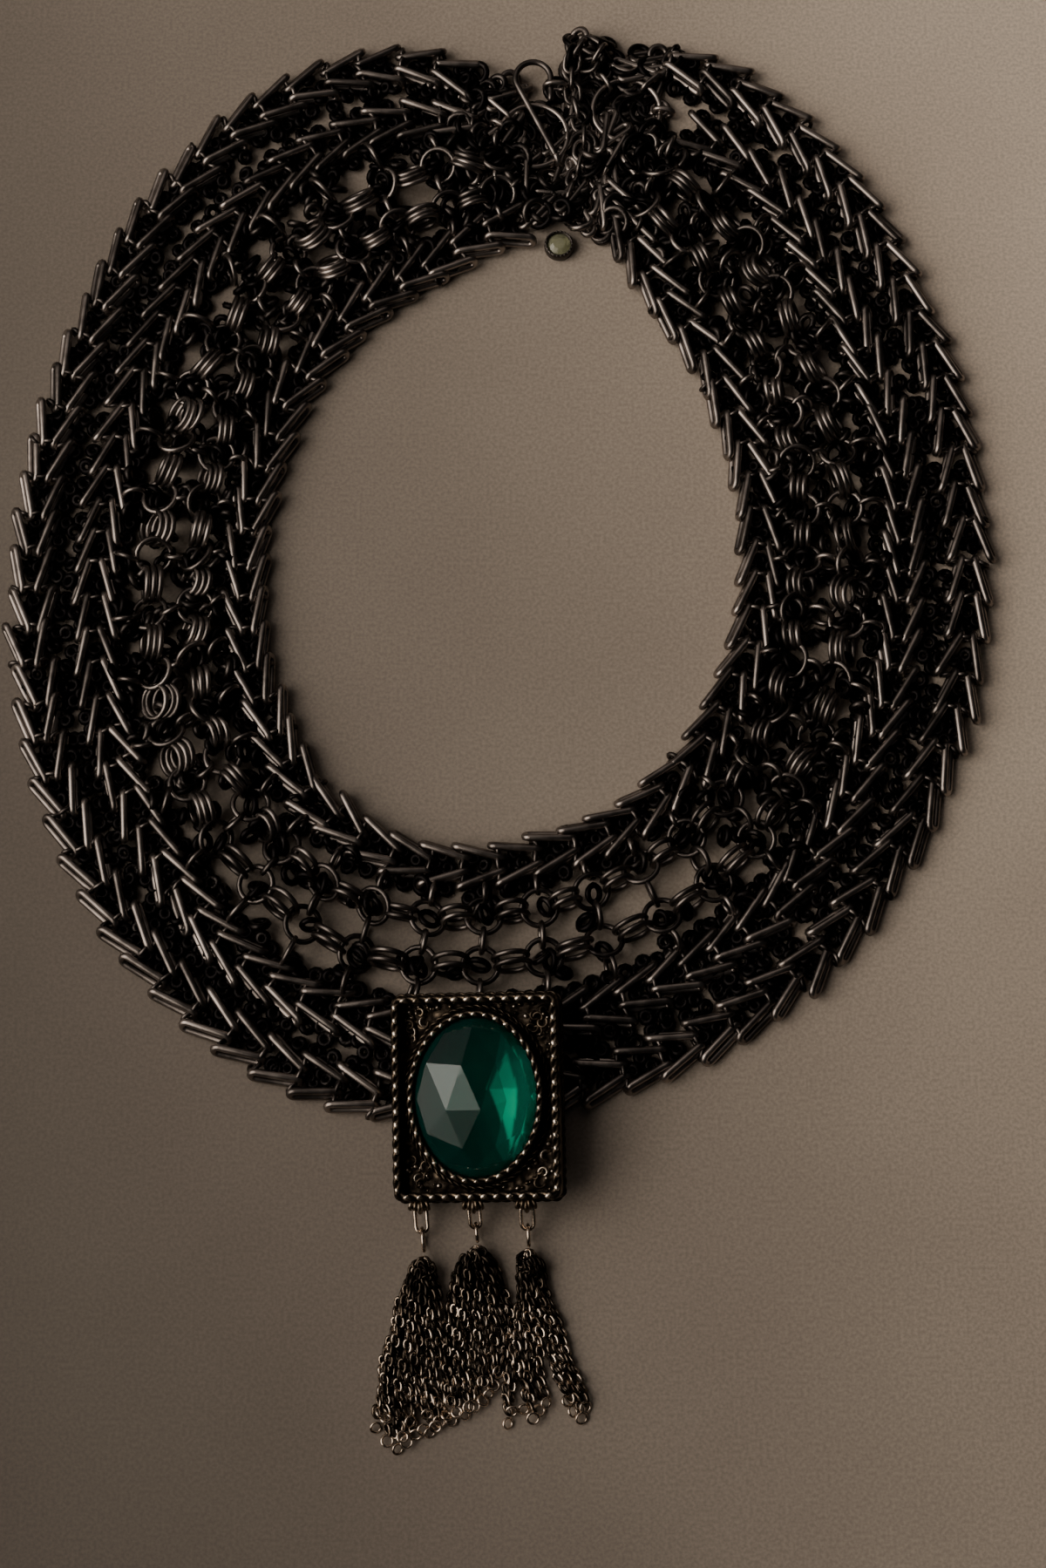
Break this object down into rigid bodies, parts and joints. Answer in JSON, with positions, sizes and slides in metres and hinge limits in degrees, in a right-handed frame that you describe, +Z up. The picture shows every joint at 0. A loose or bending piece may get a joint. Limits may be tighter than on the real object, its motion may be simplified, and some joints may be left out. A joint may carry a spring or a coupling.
{
  "type": "collar necklace with brooch centrepiece",
  "caption": "Wide collar of fishbone link strands and ring mesh, lying closed, with an oval stone in a rope-edged square brooch, chain tassels, and a hook with an extension chain.",
  "frame": {"origin": "centre of the bounding box on the floor that the collar lies on", "axes": "+Z up from the floor, +Y from the brooch toward the clasp, +X to the right seen from above with the brooch at the near side"},
  "size_m": [0.2156, 0.3131, 0.0185],
  "materials": {
    "gunmetal": "dark nickel plate, polished, slightly brown",
    "old_gold": "antique bronze plate, dark in the hollows",
    "green_stone": "faceted, foil backed",
    "pale_stone": "faceted, foil backed"
  },
  "bodies": {
    "root": {"outer_strand_1": "gunmetal", "outer_strand_2": "gunmetal", "outer_strand_3": "gunmetal", "outer_strand_4": "gunmetal", "outer_strand_5": "gunmetal", "outer_strand_6": "gunmetal", "outer_strand_7": "gunmetal", "outer_strand_8": "gunmetal", "second_strand_1": "gunmetal", "second_strand_2": "gunmetal", "second_strand_3": "gunmetal", "second_strand_4": "gunmetal", "second_strand_5": "gunmetal", "second_strand_6": "gunmetal", "second_strand_7": "gunmetal", "second_strand_8": "gunmetal", "ring_mesh_1": "gunmetal", "ring_mesh_2": "gunmetal", "ring_mesh_3": "gunmetal", "ring_mesh_4": "gunmetal", "ring_mesh_5": "gunmetal", "ring_mesh_6": "gunmetal", "ring_mesh_7": "gunmetal", "ring_mesh_8": "gunmetal", "neck_strand_1": "gunmetal", "neck_strand_2": "gunmetal", "neck_strand_3": "gunmetal", "neck_strand_4": "gunmetal", "neck_strand_5": "gunmetal", "neck_strand_6": "gunmetal", "neck_strand_7": "gunmetal", "neck_strand_8": "gunmetal", "neck_strand_9": "gunmetal", "neck_strand_10": "gunmetal", "neck_strand_11": "gunmetal", "neck_strand_12": "gunmetal", "end_ring_left": "gunmetal", "end_ring_right": "gunmetal", "end_links_left": "gunmetal", "end_links_right": "gunmetal", "hook": "gunmetal", "extension_chain": "gunmetal", "drop_setting": "gunmetal", "drop_stone": "pale_stone", "brooch_frame": "old_gold", "brooch_stone": "green_stone", "brooch_rings": "gunmetal", "tassel_link_1": "old_gold", "tassel_link_2": "old_gold", "tassel_link_3": "old_gold", "tassel_ring_1": "old_gold", "tassel_ring_2": "old_gold", "tassel_ring_3": "old_gold", "tassel_1": "old_gold", "tassel_2": "old_gold", "tassel_3": "old_gold"}
  },
  "joints": []
}
